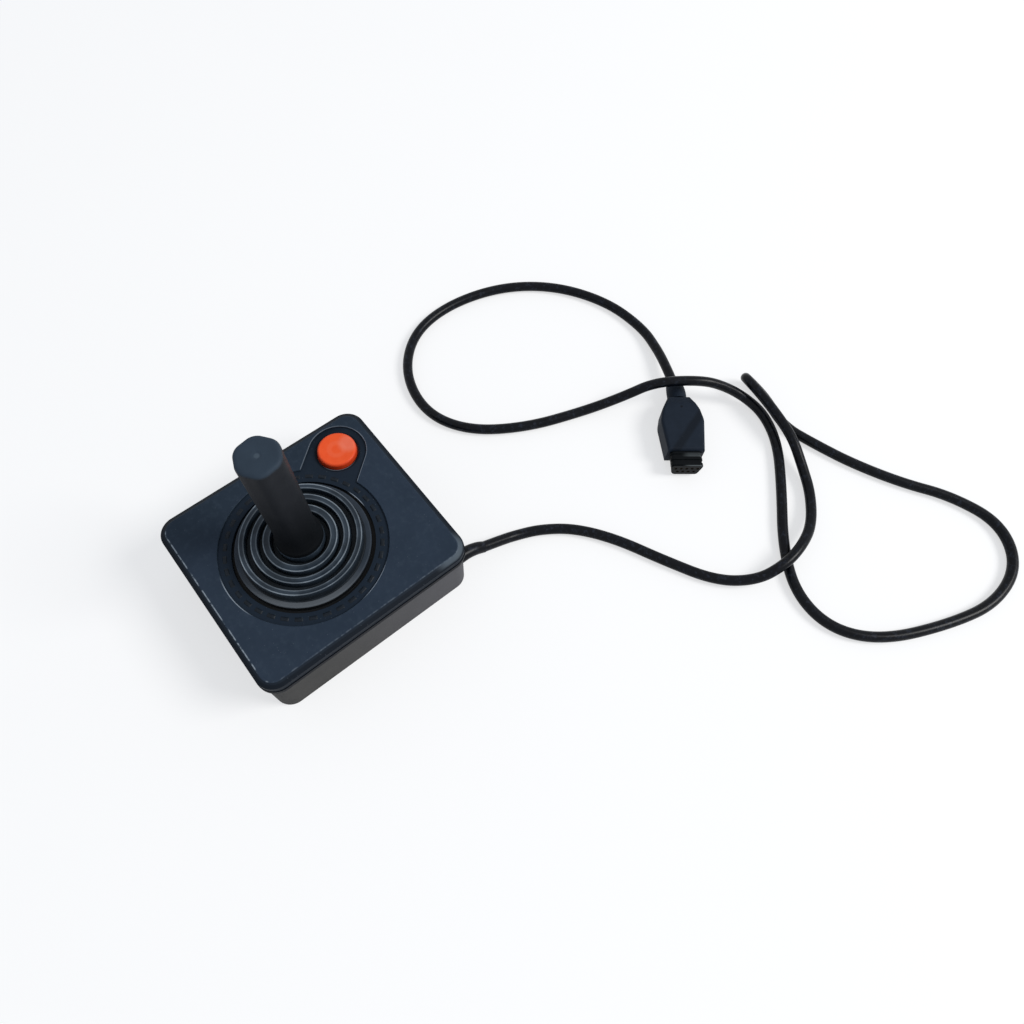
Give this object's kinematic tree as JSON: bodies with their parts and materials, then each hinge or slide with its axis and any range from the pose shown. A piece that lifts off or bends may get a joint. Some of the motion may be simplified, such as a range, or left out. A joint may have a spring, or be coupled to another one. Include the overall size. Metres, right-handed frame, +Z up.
{
  "type": "joystick controller",
  "caption": "Square hand-held controller with an upright stick in a ridged rubber boot, a round fire button at the back left corner and a lead to a D-shaped plug.",
  "frame": {"origin": "centre of the case's underside", "axes": "+Z up along the stick, +X to the user's right, +Y away from the user, to the side the lead leaves"},
  "size_m": [0.3067, 0.33, 0.113],
  "materials": {
    "shell_plastic": "fine satin moulding, warm dark grey",
    "lid_plastic": "fine satin moulding, blue-black",
    "boot_rubber": "soft semi-gloss rubber, blue-black",
    "grip_rubber": "satin rubber, near black",
    "button_plastic": "satin orange-red",
    "core_plastic": "natural moulded plastic",
    "nylon": "natural nylon",
    "board": "bonded paper board",
    "tape": "clear-white contact tape",
    "dome_steel": "thin sprung steel",
    "screw_steel": "zinc plated",
    "spring_steel": "bright drawn steel",
    "pin_brass": "plated brass",
    "terminal_brass": "folded brass",
    "wire_plastic": "thin insulation",
    "cord_plastic": "smooth semi-gloss sheath, near black",
    "plug_plastic": "moulded flexible plastic, near black",
    "plug_insert_plastic": "hard moulded plastic, black"
  },
  "bodies": {
    "case": {"lower_shell": "shell_plastic", "lid": "lid_plastic", "case_screws": "screw_steel", "circuit_board": "board", "board_screws": "screw_steel", "snap_domes": "dome_steel", "contact_tape": "tape", "terminal_posts": "pin_brass", "wire_terminals": "terminal_brass", "inner_wires": "wire_plastic", "cord_grommet": "cord_plastic", "cord": "cord_plastic", "plug_body": "plug_plastic", "plug_strain_relief": "plug_plastic", "plug_insert": "plug_insert_plastic", "plug_sockets": "pin_brass", "stick_carrier": "nylon", "carrier_screws": "screw_steel", "boot": "boot_rubber", "button_spring": "spring_steel"},
    "gimbal": {"gimbal_ring": "nylon"},
    "stick": {"stick_core": "core_plastic", "stick_pivot_pin": "spring_steel", "stick_sleeve": "grip_rubber"},
    "fire_button": {"fire_button": "button_plastic"}
  },
  "joints": [
    {"name": "stick_tilt_fore_aft", "type": "hinge", "parent": "case", "child": "gimbal", "pos_m": [0, -0.00425, 0.0235], "axis": [1, 0, 0], "range_deg": [-8, 8], "stiffness_Nm_per_rad": 1.5, "deforming": ["boot"]},
    {"name": "stick_tilt_side", "type": "hinge", "parent": "gimbal", "child": "stick", "pos_m": [0, -0.00425, 0.0235], "axis": [0, 1, 0], "range_deg": [-8, 8], "stiffness_Nm_per_rad": 1.5, "deforming": ["boot"]},
    {"name": "fire_button_press", "type": "slide", "parent": "case", "child": "fire_button", "axis": [0, 0, -1], "range_m": [0, 0.0018], "stiffness_N_per_m": 130, "springref_m": -0.004, "deforming": ["button_spring"]}
  ]
}
